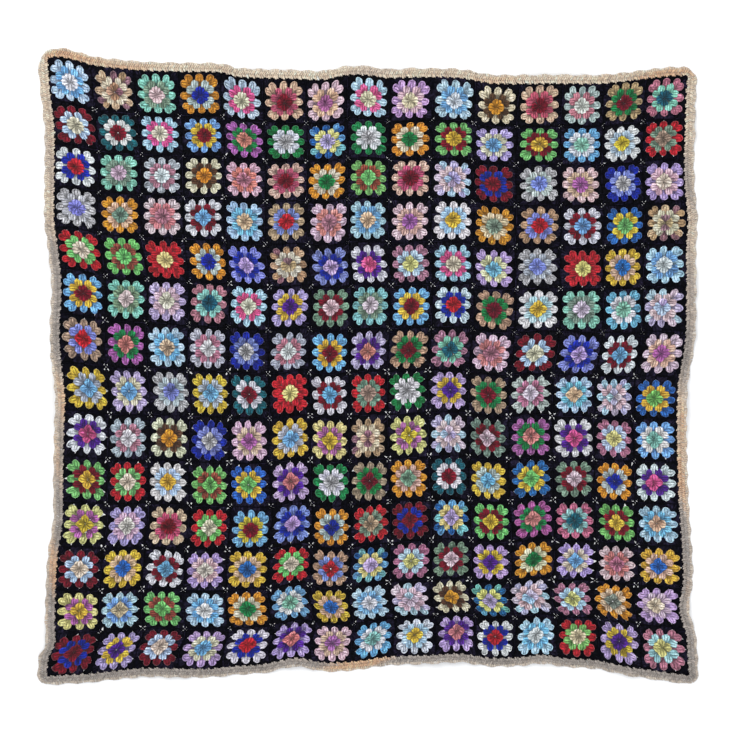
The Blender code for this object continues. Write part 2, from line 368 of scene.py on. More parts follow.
# A cluster's sections: share of its length, half width of its posts and of their foot on the floor side,
# height, height of its underside.
clusterShapes = {
    # of each coloured round, first round puffs and then pointed stars
    "centre": (
        ((0.00, 0.24, 0.46, 1.2, 0.3), (0.28, 0.68, 0.90, 3.4, 0.4), (0.60, 1.14, 1.24, 4.6, 0.4),
         (0.84, 1.08, 1.16, 4.2, 0.4), (1.00, 0.72, 0.78, 2.0, 0.4)),
        ((0.00, 0.22, 0.40, 1.2, 0.4), (0.27, 0.66, 0.84, 3.4, 0.5), (0.54, 1.06, 1.16, 4.5, 0.4),
         (0.80, 0.66, 0.76, 4.0, 0.4), (1.07, 0.22, 0.28, 1.9, 0.5)),
    ),
    "middle": (
        ((-0.35, 0.42, 0.90, 1.0, 0.3), (0.00, 0.78, 1.16, 2.7, 0.4), (0.34, 1.00, 1.22, 4.4, 0.4),
         (0.74, 0.98, 1.16, 4.2, 0.4), (1.00, 0.56, 0.64, 2.2, 0.4)),
        ((-0.35, 0.38, 0.70, 1.0, 0.4), (0.00, 0.74, 1.00, 2.6, 0.5), (0.34, 0.98, 1.12, 4.2, 0.5),
         (0.70, 0.92, 1.06, 4.0, 0.4), (1.02, 0.44, 0.50, 2.0, 0.5)),
    ),
    "outer": (
        ((-0.60, 0.40, 0.70, 1.0, 0.3), (0.00, 0.88, 1.12, 2.0, 0.4), (0.22, 1.14, 1.28, 3.7, 0.4),
         (0.66, 1.03, 1.06, 4.4, 0.4), (1.00, 0.60, 0.64, 2.6, 0.4)),
        ((-0.60, 0.40, 0.60, 1.0, 0.4), (0.00, 1.02, 1.26, 2.0, 0.5), (0.18, 1.36, 1.48, 3.6, 0.5),
         (0.58, 1.02, 1.08, 4.2, 0.4), (1.03, 0.38, 0.42, 2.3, 0.5)),
    ),
    "joining": ((0.00, 0.24, 0.28, 1.6, 0.4), (0.32, 0.48, 0.54, 2.7, 0.5),
                (0.58, 0.88, 0.92, 3.0, 0.5), (0.83, 1.20, 1.22, 2.8, 0.4), (1.00, 1.24, 1.26, 2.2, 0.5)),
    "bead": ((0.00, 0.74, 0.74, 3.4, 2.2), (0.12, 1.04, 1.04, 4.5, 2.0), (0.40, 1.06, 1.06, 4.6, 1.8),
             (1.00, 0.80, 0.80, 2.8, 1.6)),
    "edging": ((0.00, 0.66, 0.66, 2.8, 1.6), (0.45, 0.92, 0.92, 3.6, 1.5), (1.00, 1.02, 1.02, 2.6, 1.0)),
}
clusterSection = {
    "grooveHeight": 0.46,  # of the grooves between a cluster's posts, as a share of its height
    "flank": (0.97, 0.60),
    "strandSpread": 1.6,  # of the strand's own coordinate, from the floor side to the ridges
}

# painted shade and highlight: a factor on each point's colour from the floor side to the ridges, and from
# the foot to the head
paintedClusterShading = {
    "heights": (0.0, 0.35, 0.6, 1.0),
    "coloured": ((0.16, 0.24, 0.68, 1.34), (0.34, 0.56, 0.93, 1.14, 1.06)),
    "joining": ((0.5, 0.5, 0.8, 1.2), (0.7, 0.9, 1.0, 1.1, 1.2)),
    "bead": ((0.86, 0.82, 0.95, 1.08), (0.96, 1.05, 1.0, 0.90)),
    "edging": ((0.86, 0.82, 0.95, 1.08), (0.88, 1.04, 1.02)),
    "chain": (0.944, 0.236),  # mean, and the painted highlight that makes its upper side lighter and its underside darker
}


def clusterTemplate(kind, lobes, flanks=True):
    # posts side by side: x is across, y the number of the section, z from its underside to its ridges
    bm = bmesh.new()
    flankX, flankZ = clusterSection["flank"]
    foot = [(-1, 0)]
    if flanks:
        foot.append((-flankX, flankZ))
    for lobe in range(lobes):
        foot.append(((2 * lobe + 1) / lobes - 1, 1))
        if lobe < lobes - 1:
            foot.append(((2 * lobe + 2) / lobes - 1, clusterSection["grooveHeight"]))
    if flanks:
        foot.append((flankX, flankZ))
    foot.append((1, 0))
    verts = [bm.verts.new((x, 0, z)) for x, z in foot]
    upward, onward = paintedClusterShading[kind]
    template = extrudedTemplate(bm, bm.faces.new(verts), (0, 1, 0), len(onward) - 1)
    _, section, lobe = template["points"].T
    # painted shade and highlight: each point darker or lighter by its section and by its height from the
    # floor side to the ridges
    template["tone"] = np.array(onward)[np.rint(section).astype(int)]
    template["tone"] *= np.interp(lobe, paintedClusterShading["heights"], upward)
    return template


def chainTemplate(pointCount, sides=3):
    # a strand: x is the number of the point along it, y and z its round section
    bm = bmesh.new()
    bmesh.ops.create_circle(bm, cap_ends=True, segments=sides, radius=1)
    bmesh.ops.rotate(bm, verts=bm.verts[:], matrix=Matrix.Rotation(math.pi / 2, 3, "Y"))
    template = extrudedTemplate(bm, next(iter(bm.faces)), (1, 0, 0), pointCount - 1)
    mean, lighter = paintedClusterShading["chain"]
    # painted highlight on the strand's upper side, painted shade on its underside
    template["tone"] = mean + lighter * template["points"][:, 2]
    return template


def extrudedTemplate(bm, face, step, steps):
    for _ in range(steps):
        made = bmesh.ops.extrude_face_region(bm, geom=[face, *face.edges])["geom"]
        face = next(item for item in made if isinstance(item, bmesh.types.BMFace))
        bmesh.ops.translate(bm, verts=face.verts[:], vec=step)
    bmesh.ops.recalc_face_normals(bm, faces=bm.faces[:])
    bm.verts.index_update()
    template = {
        "points": np.array([vert.co[:] for vert in bm.verts]),
        "corners": np.array([loop.vert.index for poly in bm.faces for loop in poly.loops]),
        "faceSizes": np.array([len(poly.verts) for poly in bm.faces]),
    }
    bm.free()
    return template


def rotated(points, cos, sin):
    x, y = points[..., 0], points[..., 1]
    return np.stack((x * cos - y * sin, x * sin + y * cos), -1)


def fourTimes(points):
    # the same points on each of a square's four sides
    return np.stack([rotated(np.array(points), *turn) for turn in quarterTurns])


def squareClusters():
    # foot, top and side direction of every cluster of one square, with its width and round
    rounds = enumerate(square["rounds"])
    number, footX, footY, topX, topY, width = np.array(
        [(number, *cluster) for number, clusters in rounds for cluster in clusters]
    ).T
    return {
        "foot": fourTimes(np.column_stack((footX, footY))).reshape(-1, 2),
        "top": fourTimes(np.column_stack((topX, topY))).reshape(-1, 2),
        "side": np.repeat(quarterTurns, len(number), 0),
        "width": np.tile(width, 4), "round": np.tile(number, 4).astype(int),
    }


def blendedSections(openness, rounds):
    # each cluster's own sections, between a round puff and a pointed star
    kinds = np.array([clusterShapes[name] for name in ("centre", "middle", "outer")])
    closed, pointed = kinds[rounds, 0], kinds[rounds, 1]
    return closed + (pointed - closed) * openness[..., None, None]


def clusterPlan(foot, top, side, share, offset):
    # plan positions at shares of each cluster's length, with offsets to its side
    along = (top - foot)[..., None, :] * share[..., None]
    return foot[..., None, :] + along + side[..., None, :] * offset[..., None]


def layClusters(template, sections, foot, top, side, halfWidth, height):
    # plan, height and strand coordinates of every point of every cluster
    across, k, lobe = template["points"].T
    share, wide, skirt, high, low = np.moveaxis(sections[..., np.rint(k).astype(int), :], -1, 0)
    offset = across * np.where(lobe == 0, skirt, wide) * halfWidth[..., None]
    plan = clusterPlan(foot, top, side, share, offset)
    z = (low + (high - low) * lobe) * height[..., None]
    length = np.linalg.norm(top - foot, axis=-1)[..., None]
    aside = np.broadcast_to((1 - lobe) * clusterSection["strandSpread"], z.shape)
    return plan, z, np.stack((aside, length * share), -1)


chainEnds = 0.7  # thickness of a strand's two ends, as a share of its middle


def layChains(template, path, radius, flatness=1.0):
    # the same for strands along their paths, given as x, y and z
    k, out, up = template["points"].T
    k = np.rint(k).astype(int)
    run = np.gradient(path[..., :2], axis=-2)
    run /= np.linalg.norm(run, axis=-1, keepdims=True)
    normal = np.stack((-run[..., 1], run[..., 0]), -1)
    thick = radius * np.where((k == 0) | (k == k.max()), chainEnds, 1)
    plan = path[..., k, :2] + normal[..., k, :] * (thick * out)[:, None]
    steps = np.linalg.norm(np.diff(path[..., :2], axis=-2), axis=-1)
    along = np.concatenate((np.zeros_like(steps[..., :1]), np.cumsum(steps, -1)), -1)[..., k]
    aside = np.broadcast_to(thick * (out + up), along.shape)
    return plan, path[..., k, 2] + thick * up * flatness, np.stack((aside, along), -1)


rim = {
    # share of the half width and of the length, and height of one half of the chain round a cluster's head
    "puff": ((0.00, 1.00, 3.7), (0.48, 0.95, 3.9), (0.87, 0.76, 4.0), (1.01, 0.48, 3.2)),
    "star": ((0.00, 1.03, 3.4), (0.42, 0.91, 3.8), (0.82, 0.70, 3.8), (0.98, 0.44, 3.0)),
    "radius": 1.5,
}


def rimPaths(foot, top, side, halfWidth, openness):
    # the chain that closes each cluster's head, round on a puff and pointed on a star
    puff, star = (np.array(rim[name][:0:-1] + rim[name]) for name in ("puff", "star"))
    offset, share, z = np.moveaxis(puff + (star - puff) * openness[..., None, None], -1, 0)
    offset = offset * np.sign(np.arange(len(puff)) - len(puff) // 2) * halfWidth[..., None]
    return np.concatenate((clusterPlan(foot, top, side, share, offset), z[..., None]), -1)


def settle(squares, plan):
    # turns, stretches and shifts each square a little, with nothing left of it at the seams
    shape = (-1,) + (1,) * (plan.ndim - 2)
    inward = blanket["squareSize"] / 2 - np.abs(plan).max(-1)
    loose = bump(1 - np.clip(inward / square["seamMargin"], 0, 1))[..., None]
    turn, size = squares["turn"], squares["size"]
    cos, sin = (np.cos(turn) * size).reshape(shape), (np.sin(turn) * size).reshape(shape)
    moved = rotated(plan, cos, sin) + squares["shift"].reshape(shape + (2,))
    return plan + (moved - plan) * loose


def ontoCloth(plan, z, column, row):
    # from a square's own plan to the blanket's surface, in metres
    shape = (-1,) + (1,) * (z.ndim - 1)
    column, row = column.reshape(shape), row.reshape(shape)
    u = (column + 0.5 + plan[..., 0] / blanket["squareSize"]) / blanket["columns"]
    v = (blanket["rows"] - row - 0.5 + plan[..., 1] / blanket["squareSize"]) / blanket["rows"]
    x, y = squarePlan(u, v)
    return np.stack((x - origin[0], y - origin[1], z + relief(x, y)), -1) * mm


shadeLimits = {"leastUneven": 0.2, "lightest": 0.84}


def joinStitches(name, parts, material):
    # one mesh from many stitches; each part repeats a template
    layerNames = ("points", "corners", "sizes", "strand", "OFBake", "yarnColor", "plyAndGrooveShadeColor")
    layers = {layer: [] for layer in layerNames}
    count = 0
    for part in parts:
        stitches, verts = part["points"].shape[:2]
        template = part["template"]
        # each point's painted shade and highlight from its template, times its own random unevenness
        tone = (template["tone"] * np.maximum(part["uneven"], shadeLimits["leastUneven"])).reshape(-1, 1)
        shade = np.repeat(part["shade"], verts, 0) * tone
        layers["points"].append(part["points"].reshape(-1, 3))
        shift = count + verts * np.arange(stitches)[:, None]
        layers["corners"].append((template["corners"] + shift).ravel())
        layers["sizes"].append(np.tile(template["faceSizes"], stitches))
        layers["strand"].append(part["strand"].reshape(-1, 2) * mm)
        layers["OFBake"].append(part["bake"].reshape(-1, 2))
        layers["yarnColor"].append(np.minimum(shade, shadeLimits["lightest"]))
        layers["plyAndGrooveShadeColor"].append(np.repeat(part["plyAndGrooveShade"], verts, 0) * tone)
        count += stitches * verts
    joined = {layer: np.concatenate(values) for layer, values in layers.items()}
    corners, sizes = joined["corners"].astype(np.int32), joined["sizes"]
    mesh = bpy.data.meshes.new(name)
    mesh.vertices.add(count)
    mesh.vertices.foreach_set("co", joined["points"].astype(np.float32).ravel())
    mesh.loops.add(len(corners))
    mesh.loops.foreach_set("vertex_index", corners)
    mesh.polygons.add(len(sizes))
    mesh.polygons.foreach_set("loop_start", (np.cumsum(sizes) - sizes).astype(np.int32))
    mesh.polygons.foreach_set("use_smooth", np.ones(len(sizes), bool))
    mesh.update(calc_edges=True)
    for layer in ("OFBake", "strand"):
        uv = mesh.uv_layers.new(name=layer)
        uv.data.foreach_set("uv", joined[layer][corners].astype(np.float32).ravel())
    for layer in ("yarnColor", "plyAndGrooveShadeColor"):
        attribute = mesh.attributes.new(layer, "FLOAT_COLOR", "POINT")
        rgba = np.ones((count, 4), np.float32)
        rgba[:, :3] = joined[layer]
        attribute.data.foreach_set("color", rgba.ravel())
    mesh.materials.append(material)
    return linked(name, mesh)


# lean keeps a point and the one under it apart on the map; the rest are a map's borders, in millimetres
bakeMap = {"lean": 0.2, "squareBorder": 7.0, "edgingBorder": (12.0, 9.0), "edgingHeight": 42.0}


def bakeTiles(plan, z, across, down):
    # a map position for each point, seen from above, with one tile for each square
    tile = np.arange(len(z)).reshape((-1,) + (1,) * (z.ndim - 1))
    width = blanket["squareSize"] + bakeMap["squareBorder"]
    x, y = ((plan[..., axis] + bakeMap["lean"] * z) / width + 0.5 for axis in (0, 1))
    return np.stack(((tile % across + x) / across, (tile // across + y) / down), -1)


# Materials

def newGroup(name, inputs, outputs):
    # inputs are numbers, apart from a vector, which has no value of its own
    group = bpy.data.node_groups.new(name, "ShaderNodeTree")
    for socket, value in inputs.items():
        kind = "NodeSocketVector" if value is None else "NodeSocketFloat"
        made = group.interface.new_socket(socket, in_out="INPUT", socket_type=kind)
        if value is not None:
            made.default_value = value
    for socket in outputs:
        group.interface.new_socket(socket, in_out="OUTPUT", socket_type="NodeSocketFloat")
    return group, group.nodes.new("NodeGroupInput"), group.nodes.new("NodeGroupOutput")


def feed(tree, node, inputs):
    # links a socket, or sets a value, at each input
    for name, value in dict(inputs).items():
        if isinstance(value, bpy.types.NodeSocket):
            tree.links.new(value, node.inputs[name])
        else:
            node.inputs[name].default_value = value


def addNode(tree, kind, inputs=(), **settings):
    node = tree.nodes.new(kind)
    for name, value in settings.items():
        setattr(node, name, value)
    feed(tree, node, inputs)
    return node


def newMaterial(name, inputs):
    # the inputs of its Principled shader come from a function of its node tree
    material = bpy.data.materials.new(name)
    material.use_nodes = True
    feed(material.node_tree, material.node_tree.nodes["Principled BSDF"], inputs(material.node_tree))
    return material


def mathNode(tree, operation, *values):
    return addNode(tree, "ShaderNodeMath", enumerate(values), operation=operation).outputs[0]


def rangeNode(tree, value, fromLimits, toLimits):
    return addNode(tree, "ShaderNodeMapRange", enumerate((value, *fromLimits, *toLimits))).outputs[0]


def mixNode(tree, factor, first, second, blend="MIX"):
    inputs = {0: factor, 6: first, 7: second}
    return addNode(tree, "ShaderNodeMix", inputs, data_type="RGBA", blend_type=blend).outputs[2]


def plyTwistGroup():
    # slanting plies along a strand: 1 on a ply, 0 in the groove between two
    inputs = {"Strand": None, "Ply Pitch": 0.0022, "Slant": 0.7, "Wander": 0.35}
    group, given, result = newGroup("plyTwist", inputs, ("Mask",))
    parts = addNode(group, "ShaderNodeSeparateXYZ", {0: given.outputs["Strand"]})
    slanted = mathNode(group, "MULTIPLY", parts.outputs[0], given.outputs["Slant"])
    along = mathNode(group, "ADD", parts.outputs[1], slanted)
    turns = mathNode(group, "DIVIDE", along, given.outputs["Ply Pitch"])
    place = addNode(group, "ShaderNodeTexCoord").outputs["Object"]
    noise = addNode(group, "ShaderNodeTexNoise", {"Vector": place, "Scale": 300.0, "Detail": 2.0})
    wander = mathNode(group, "MULTIPLY_ADD", noise.outputs[0], given.outputs["Wander"], turns)
    angle = mathNode(group, "MULTIPLY", wander, 2 * math.pi)
    feed(group, result, {"Mask": rangeNode(group, mathNode(group, "SINE", angle), (-1.0, 0.8), (0.0, 1.0))})
    return group


def fibreFuzzGroup():
    # short fibres lying every way, and slower changes of tone
    inputs = {"Fibre Scale": 1500.0, "Tone Scale": 90.0}
    group, given, result = newGroup("fibreFuzz", inputs, ("Fibres", "Tone"))
    place = addNode(group, "ShaderNodeTexCoord").outputs["Object"]
    noises = (("Fibre Scale", "Fibres", 3.0, 0.6), ("Tone Scale", "Tone", 2.0, 0.0))
    for scale, output, detail, twist in noises:
        noise = {"Vector": place, "Scale": given.outputs[scale], "Detail": detail, "Distortion": twist}
        feed(group, result, {output: addNode(group, "ShaderNodeTexNoise", noise).outputs[0]})
    return group


plyTwist, fibreFuzz = plyTwistGroup(), fibreFuzzGroup()
yarnSurface = {  # what all the yarns share
    "sheenRoughness": 0.45,
    "fibresFrom": (0.25, 0.75),
    "fibreTone": (0.80, 1.18),
    "toneFrom": (0.3, 0.7),
    "roughFrom": (0.2, 0.8),
    "bumpStrength": 0.7,
}


def yarnInputs(tree, look):
    # base colour from the stitch's own shade, with painted shade in the grooves between its plies, fibres
    # and slow changes of tone
    twisted = {
        "Strand": addNode(tree, "ShaderNodeUVMap", uv_map="strand").outputs[0],
        "Ply Pitch": look["plyPitch"], "Slant": look["slant"],
    }
    mask = addNode(tree, "ShaderNodeGroup", twisted, node_tree=plyTwist).outputs["Mask"]
    fuzz = addNode(tree, "ShaderNodeGroup", {"Tone Scale": look["toneScale"]}, node_tree=fibreFuzz)
    fibres = fuzz.outputs["Fibres"]
    shade = addNode(tree, "ShaderNodeAttribute", attribute_name="yarnColor").outputs["Color"]
    plyAndGrooveShade = addNode(tree, "ShaderNodeAttribute", attribute_name="plyAndGrooveShadeColor").outputs["Color"]
    tone = rangeNode(tree, fuzz.outputs["Tone"], yarnSurface["toneFrom"], (look["dark"], look["light"]))
    grain = rangeNode(tree, fibres, yarnSurface["fibresFrom"], yarnSurface["fibreTone"])
    amount = mathNode(tree, "MULTIPLY", tone, grain)
    relief = {
        "Height": mathNode(tree, "MULTIPLY_ADD", mask, look["plyDepth"], fibres),
        "Strength": yarnSurface["bumpStrength"], "Distance": look["bump"],
    }
    return {
        # the stitch's shade on each ply, and in the grooves between plies the darker painted shade, which
        # on a marled yarn is its white ply
        "Base Color": mixNode(tree, 1.0, mixNode(tree, mask, plyAndGrooveShade, shade), amount, "MULTIPLY"),
        "Roughness": rangeNode(tree, fibres, yarnSurface["roughFrom"], look["rough"]),
        "Normal": addNode(tree, "ShaderNodeBump", relief).outputs[0],
        "Specular IOR Level": look["specular"],
        "Sheen Weight": look["sheen"],
        "Sheen Roughness": yarnSurface["sheenRoughness"],
        "Sheen Tint": (*look["sheenTint"], 1),
    }


def yarnMaterial(name, look):
    return newMaterial(name, lambda tree: yarnInputs(tree, look))


yarnLooks = {
    "coloured": {
        "sheen": 0.25, "sheenTint": (1.0, 1.0, 1.0), "specular": 0.25, "rough": (0.72, 0.92),
        "plyPitch": 0.0021, "slant": 0.8, "plyDepth": 0.9, "bump": 0.0005,
        "toneScale": 330.0, "dark": 0.58, "light": 1.40,
    },
    "joining": {
        "sheen": 0.0, "sheenTint": (0.6, 0.65, 0.9), "specular": 0.08, "rough": (0.75, 0.95),
        "plyPitch": 0.0021, "slant": 0.8, "plyDepth": 0.9, "bump": 0.0005,
        "toneScale": 220.0, "dark": 0.35, "light": 2.3,
    },
    "edging": {
        "sheen": 0.25, "sheenTint": (1.0, 0.97, 0.92), "specular": 0.25, "rough": (0.75, 0.95),
        "plyPitch": 0.0017, "slant": -0.8, "plyDepth": 1.0, "bump": 0.0006,
        "toneScale": 260.0, "dark": 0.74, "light": 1.16,
    },
}


# The squares

variety = {
    "seed": 41,
    "turn": 3.0,  # degrees
    "size": 0.015,
    "shift": 1.2,
    "clusterPlace": 0.6,
    "joiningPlace": 0.5,  # how much of that the joining clusters take
    "clusterWidth": 0.06,
    "clusterHeight": 0.08,
    "clusterTurn": 3.5,  # degrees
    # from 0, round puffs, to 1, pointed stars
    "opennessOfRows": (0.1, 0.1, 0.15, 0.2, 0.22, 0.34, 0.46, 0.54, 0.56, 0.56, 0.56, 0.54, 0.50, 0.42),
    "openness": 0.16,
    "clusterOpenness": 0.08,
    "innerOpenness": (1.3, -0.35, 0.35),  # the inner rounds' share of it, what is added, and its spread
    "innerReach": (0.0, 0.08, 0.0, 0.0),  # how much further each round's feet reach in on a closed square
    "tightness": (1.03, 0.05),  # scale of the clusters on a closed square, and its loss on an open one
    "joiningTightness": (1.16, 0.13),
    "pointPlace": 0.34,
    "pointShade": 0.36,  # how unevenly the points of a cluster are shaded
    "mapTiles": (4, 4),
}


def layOutSquares(rng):
    # where every cluster of every square stands, how big it is and how open
    row, column = np.divmod(np.arange(blanket["columns"] * blanket["rows"]), blanket["columns"])
    count = len(row)
    clusters = squareClusters()
    isJoining = clusters["round"] == square["joining"]
    shape = (count, len(isJoining))
    turn = np.radians(rng.normal(0, variety["turn"], count))
    size = rng.normal(1, variety["size"], count)
    shift = rng.normal(0, variety["shift"], (count, 2))

    rowOpenness = np.array(variety["opennessOfRows"])[row][:, None]
    openness = np.clip(rowOpenness + rng.normal(0, variety["openness"], (count, 1)), 0, 1)
    share, more, spread = variety["innerOpenness"]
    innerOpenness = np.clip(openness * share + more + rng.normal(0, spread, (count, 1)), 0, 1)
    openness = np.clip(openness + rng.normal(0, variety["clusterOpenness"], shape), 0, 1)

    lean = np.radians(rng.normal(0, variety["clusterTurn"], shape))
    place = rng.normal(0, variety["clusterPlace"], shape + (2,))
    place[:, isJoining] *= variety["joiningPlace"]
    foot = clusters["foot"] + place
    top = foot + rotated(clusters["top"] - clusters["foot"], np.cos(lean), np.sin(lean))
    top[:, isJoining] = clusters["top"][isJoining] + place[:, isJoining]
    halfWidth = clusters["width"] / 2 * rng.normal(1, variety["clusterWidth"], shape)
    height = rng.normal(1, variety["clusterHeight"], shape)

    scale, loss = variety["tightness"]
    joiningScale, joiningLoss = variety["joiningTightness"]
    tight = np.where(isJoining, joiningScale - joiningLoss * openness, scale - loss * openness)
    reach = 1 + np.array(variety["innerReach"])[clusters["round"]] * (1 - innerOpenness)
    return {
        "row": row, "column": column, "turn": turn, "size": size, "shift": shift,
        "round": clusters["round"], "openness": openness,
        "foot": top - (top - foot) * (tight * reach)[..., None], "top": top,
        "side": np.broadcast_to(clusters["side"], shape + (2,)),
        "halfWidth": halfWidth * tight, "height": height,
    }


def someClusters(squares, which):
    return [squares[name][:, which] for name in ("foot", "top", "side", "halfWidth", "height")]


def squareParts(squares, laid, mine, tiles, pointShade, rng):
    # the stitches of one piece, which takes only some of the squares
    parts = []
    for template, plan, z, strand, shade, plyAndGrooveShade in laid:
        plan, z = plan[mine], z[mine]
        values = {
            "points": ontoCloth(plan, z, squares["column"][mine], squares["row"][mine]),
            "strand": strand[mine], "bake": bakeTiles(plan, z, *tiles),
            "shade": shade[mine], "plyAndGrooveShade": plyAndGrooveShade[mine],
        }
        part = {name: array.reshape((-1,) + array.shape[2:]) for name, array in values.items()}
        part["template"] = template
        part["uneven"] = rng.normal(1, pointShade, part["points"].shape[:2])
        parts.append(part)
    return parts


def makeColoured(squares, rng):
    isColoured = squares["round"] != square["joining"]
    isOuter = squares["round"] == square["joining"] - 1
    rimmed = isOuter[isColoured]
    rounds, openness = squares["round"][isColoured], squares["openness"]
    shades, pliesAndGrooveShades = yarnColours(dealColourings(rng), rounds, rng)
    body, head = clusterTemplate("coloured", 3), chainTemplate(2 * len(rim["puff"]) - 1)
    sections = blendedSections(openness[:, isColoured], rounds)
    plan, z, strand = layClusters(body, sections, *someClusters(squares, isColoured))
    plan = settle(squares, plan) + rng.normal(0, variety["pointPlace"], plan.shape)
    rims = rimPaths(*someClusters(squares, isOuter)[:4], openness[:, isOuter])
    rimPlan, rimZ, rimStrand = layChains(head, rims, rim["radius"])
    laid = (
        (body, plan, z, strand, shades, pliesAndGrooveShades),
        (head, settle(squares, rimPlan), rimZ, rimStrand, shades[:, rimmed], pliesAndGrooveShades[:, rimmed]),
    )
    material = yarnMaterial("colouredYarn", yarnLooks["coloured"])
    pieces = []
    for number in range(blanket["rows"]):
        mine = squares["row"] == number
        parts = squareParts(squares, laid, mine, variety["mapTiles"], variety["pointShade"], rng)
        piece = joinStitches(f"squaresRow{number + 1:02d}", parts, material)
        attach(piece, "root")
        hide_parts("joined_squares")
        pieces.append(piece)
    stage("coloured squares")
    return pieces


joining = {
    "shades": (
        (0.020, 0.018, 0.052), (0.078, 0.068, 0.122), (0.012, 0.013, 0.030), (0.026, 0.026, 0.048),
    ),
    "pointShade": 0.5,
    # how dark the painted shade in the grooves between plies is
    "paintedGrooveShare": 0.75,
    # the clusters that fill a square's corners: foot and top along the diagonal, and width
    "cornerFill": (30.0, 42.0, 12.6),
    "cornerFootSpread": 0.4,
    "cornerWidths": (1.25, 0.3, 0.15),  # on a closed square, its loss on an open one, and its spread
    "cornerHeight": 0.9,
    "closing": (2.2, -0.1, 1.5),  # how much further they reach on a closed square, on any, and its spread
    "closed": 5.0,  # the same where a corner lies at the blanket's edge, and at most
    "seam": (12.5, 1.1, 2.6),  # half length, distance in from the clusters' tops, and height of each strand
    "seamRadius": 1.25,
    "loop": ((38.0, 48.4), (45.4, 47.8), (47.8, 45.4), (48.4, 38.0)),  # round a corner
    "loopHeight": 2.4,
    "loopStrand": (2.4, 0.55),  # radius and flatness
    "mapTiles": (11, 10),
}


def cornerClusters(squares, rng):
    # foot, top, side, half width and height of the clusters in the squares' corners
    row, column = squares["row"][:, None], squares["column"][:, None]
    openness = squares["openness"][:, :4]
    diagonals, sides = fourTimes((1, 1)), fourTimes((1, -1)) * math.sqrt(0.5)
    rightward, upward = diagonals.T
    edges = (
        (upward > 0) & (row == 0), (upward < 0) & (row == blanket["rows"] - 1),
        (rightward > 0) & (column == blanket["columns"] - 1), (rightward < 0) & (column == 0),
    )
    more, always, spread = joining["closing"]
    closing = more * (1 - openness) + always + rng.normal(0, spread, openness.shape)
    closing = np.minimum(closing + joining["closed"] * sum(edges), joining["closed"])
    footAt, topAt, width = joining["cornerFill"]
    foot = diagonals * footAt + rng.normal(0, joining["cornerFootSpread"], openness.shape + (2,))
    top = diagonals * (topAt + closing[..., None])
    wide, loss, spread = joining["cornerWidths"]
    halfWidth = width / 2 * rng.normal(1, spread, openness.shape) * (wide - loss * openness)
    height = np.full(openness.shape, joining["cornerHeight"])
    return foot, top, np.broadcast_to(sides, foot.shape), halfWidth, height


def atHeight(path, z):
    return np.concatenate((path, np.full(path.shape[:-1] + (1,), z)), -1)


def seamPaths(top, side):
    # strands along the seams, each across the top of a joining cluster
    halfLength, inset, height = joining["seam"]
    outward = np.stack((-side[..., 1], side[..., 0]), -1)
    steps = np.linspace(-halfLength, halfLength, 3)[:, None]
    return atHeight((top - outward * inset)[..., None, :] + side[..., None, :] * steps, height)


def makeJoining(squares, rng):
    body, straight, bent = clusterTemplate("joining", 3, False), chainTemplate(3), chainTemplate(4)
    own = someClusters(squares, squares["round"] == square["joining"])
    clusters = [np.concatenate(pair, 1) for pair in zip(own, cornerClusters(squares, rng))]
    sections = np.array(clusterShapes["joining"])
    sections = np.broadcast_to(sections, clusters[0].shape[:2] + sections.shape)
    loops = fourTimes(joining["loop"])
    loops = atHeight(np.broadcast_to(loops, own[0].shape[:1] + loops.shape), joining["loopHeight"])
    laid = []
    for template, (plan, z, strand) in (
        (body, layClusters(body, sections, *clusters)),
        (straight, layChains(straight, seamPaths(own[1], own[2]), joining["seamRadius"])),
        (bent, layChains(bent, loops, *joining["loopStrand"])),
    ):
        dyes = np.array(joining["shades"])
        shade = linear(dyes[rng.integers(len(dyes), size=plan.shape[:2])])
        # the grooves between plies get a darker painted shade
        laid.append((template, settle(squares, plan), z, strand, shade, shade * joining["paintedGrooveShare"]))
    material = yarnMaterial("blackYarn", yarnLooks["joining"])
    half = squares["row"] >= blanket["rows"] // 2
    pieces = []
    for number, name in enumerate(("joiningUpper", "joiningLower")):
        parts = squareParts(squares, laid, half == number, joining["mapTiles"], joining["pointShade"], rng)
        piece = joinStitches(name, parts, material)
        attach(piece, "root")
        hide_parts("joined_squares")
        pieces.append(piece)
    stage("black joining")
    return pieces


def makeSquares():
    rng = np.random.default_rng(variety["seed"])
    squares = layOutSquares(rng)
    return makeColoured(squares, rng) + makeJoining(squares, rng)


# The edging

edging = {
    "seed": 7,
    "pitch": 4.9,
    "cornerStations": 9,
    "stationsPerSquare": 20,
    # inner and outer edge as shares of the width, height, and how far the tops lean along the edge
    "rounds": ((0.0, 0.38, 1.0, 3.0), (0.30, 0.70, 1.3, -4.0), (0.62, 1.0, 1.0, 1.5)),
    "placeSpread": 0.3,
    "leanSpread": 0.25,
    "widthSpread": 0.07,
    "heightSpread": 0.08,
    "pointShade": 0.09,  # how unevenly the points of a stitch are shaded
    # how dark the painted shade in the grooves between plies is
    "paintedGrooveShare": 0.88,
    "scallops": (17.5, 1.7, 1.4, 0.4),  # length, mean, height and unevenness of the edge towards the black
    "scallopDrifts": ((90.0, 1.6, 0.0), (37.0, 1.1, 1.0)),  # length, strength and start
    "wiggle": 1.0,  # of the outer edge
    "lipWave": (43.0, 1.5),  # length and height of the outer edge's slow wave
    "lipDrifts": ((160.0, 2.2, 0.0), (71.0, 1.32, 2.0)),
    "bands": 16,  # of the map
}
edgingColoursAndLipShade = {
    "cream": (0.98, 0.88, 0.78),
    "grey": (0.72, 0.68, 0.65),
    "peach": (0.95, 0.77, 0.63),
    # the lip's colour, greyer as painted shade where the edge rolls down, and how much of it the outermost
    # round takes
    "lip": (0.93, 0.86, 0.78),
    "lipShare": 0.6,
    "stretches": ((5, 1.0, 0.6), (13, 0.7, 1.1)),  # number round the blanket, strength and start
    "flecks": (29, 0.5),
    "brightest": 0.62,  # share of the way round, towards the far side's left
    "greyAt": (0.5, 2.0, -2.6),  # by the stretches, always, and by the brightness
    "peachAt": (-1.1, -0.75),
    "spread": 0.06,
}


